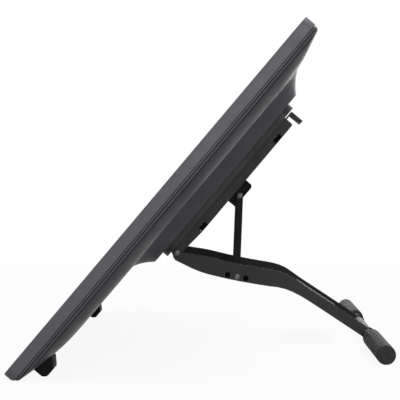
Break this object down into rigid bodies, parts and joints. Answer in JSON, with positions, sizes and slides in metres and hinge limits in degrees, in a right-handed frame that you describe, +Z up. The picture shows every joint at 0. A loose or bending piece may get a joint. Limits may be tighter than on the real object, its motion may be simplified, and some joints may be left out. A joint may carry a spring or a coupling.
{
  "type": "graphics tablet with screen",
  "caption": "Slab-shaped pen display with a crowned back and raised middle, held at a slope by a fold-out leg with a strut, cross tube and rubber sleeves.",
  "frame": {"origin": "middle of the floor contact: bottom centre of the bounding box", "axes": "+X across the width, +Y rearward, +Z up; the screen faces -Y and up"},
  "size_m": [0.57, 0.2886, 0.2578],
  "materials": {
    "cover_glass": "etched matte glass, dark when off",
    "frame_paint": "satin dark grey",
    "panel": "dark layered panel",
    "tray_metal": "plain sheet",
    "circuit": "green board",
    "cover_plastic": "fine textured dark grey",
    "socket_metal": "plated",
    "black_plastic": "satin black",
    "key_plastic": "satin grey",
    "screw_steel": "black",
    "pin_steel": "plated",
    "foot_rubber": "matte black",
    "stand_paint": "fine textured black",
    "leg_paint": "fine textured dark grey",
    "tube_metal": "satin grey",
    "sleeve_rubber": "matte dark grey, fine lengthwise lines"
  },
  "bodies": {
    "display": {"front_glass": "cover_glass", "front_frame": "frame_paint", "lcd_panel": "panel", "backlight_tray": "tray_metal", "digitizer_board": "circuit", "mid_frame": "frame_paint", "rear_cover": "cover_plastic", "main_board": "circuit", "shield_can": "tray_metal", "hdmi_port": "socket_metal", "usb_port": "socket_metal", "power_jack": "black_plastic", "key_board": "circuit", "cover_screws": "screw_steel", "foot_left": "foot_rubber", "foot_right": "foot_rubber", "stand_pad": "black_plastic", "mount_screws": "pin_steel", "stand_channel": "stand_paint", "channel_cover": "black_plastic", "lock_rail_left": "pin_steel", "lock_rail_right": "pin_steel", "lever_spring": "pin_steel"},
    "leg": {"leg": "leg_paint", "leg_plugs": "black_plastic", "hinge_pin": "pin_steel", "strut_pin": "pin_steel", "cross_tube": "tube_metal", "sleeve_left": "sleeve_rubber", "sleeve_right": "sleeve_rubber"},
    "strut": {"strut": "stand_paint", "carriage_pin": "pin_steel"},
    "carriage": {"carriage": "black_plastic"},
    "release_lever": {"release_lever": "stand_paint"},
    "power_button": {"power_button": "key_plastic"},
    "menu_key": {"menu_key": "key_plastic"},
    "plus_key": {"plus_key": "key_plastic"},
    "minus_key": {"minus_key": "key_plastic"}
  },
  "joints": [
    {"name": "leg_fold", "type": "hinge", "parent": "display", "child": "leg", "pos_m": [0, -0.02374, 0.07894], "axis": [-1, 0, 0], "range_deg": [-58, 12]},
    {"name": "strut_lower", "type": "hinge", "parent": "leg", "child": "strut", "pos_m": [0, 0.02646, 0.0577], "axis": [-1, 0, 0], "range_deg": [-19.46, 92.14]},
    {"name": "strut_upper", "type": "hinge", "parent": "strut", "child": "carriage", "pos_m": [0, 0.03042, 0.12529], "axis": [-1, 0, 0], "range_deg": [-34.14, 7.46]},
    {"name": "lever_pull", "type": "slide", "parent": "display", "child": "release_lever", "axis": [0, 0.66, 0.7513], "range_m": [0, 0.005], "stiffness_N_per_m": 300, "springref_m": -0.002},
    {"name": "power_button_press", "type": "slide", "parent": "display", "child": "power_button", "axis": [0, -0.66, -0.7513], "range_m": [0, 0.0006], "stiffness_N_per_m": 900, "springref_m": -0.0003},
    {"name": "menu_key_press", "type": "slide", "parent": "display", "child": "menu_key", "axis": [0, -0.66, -0.7513], "range_m": [0, 0.0006], "stiffness_N_per_m": 900, "springref_m": -0.0003},
    {"name": "plus_key_press", "type": "slide", "parent": "display", "child": "plus_key", "axis": [0, -0.66, -0.7513], "range_m": [0, 0.0006], "stiffness_N_per_m": 900, "springref_m": -0.0003},
    {"name": "minus_key_press", "type": "slide", "parent": "display", "child": "minus_key", "axis": [0, -0.66, -0.7513], "range_m": [0, 0.0006], "stiffness_N_per_m": 900, "springref_m": -0.0003}
  ],
  "couplings": [
    {"joint": "strut_lower", "follows": "leg_fold", "ratio": -1.58},
    {"joint": "strut_upper", "follows": "leg_fold", "ratio": 0.58}
  ]
}
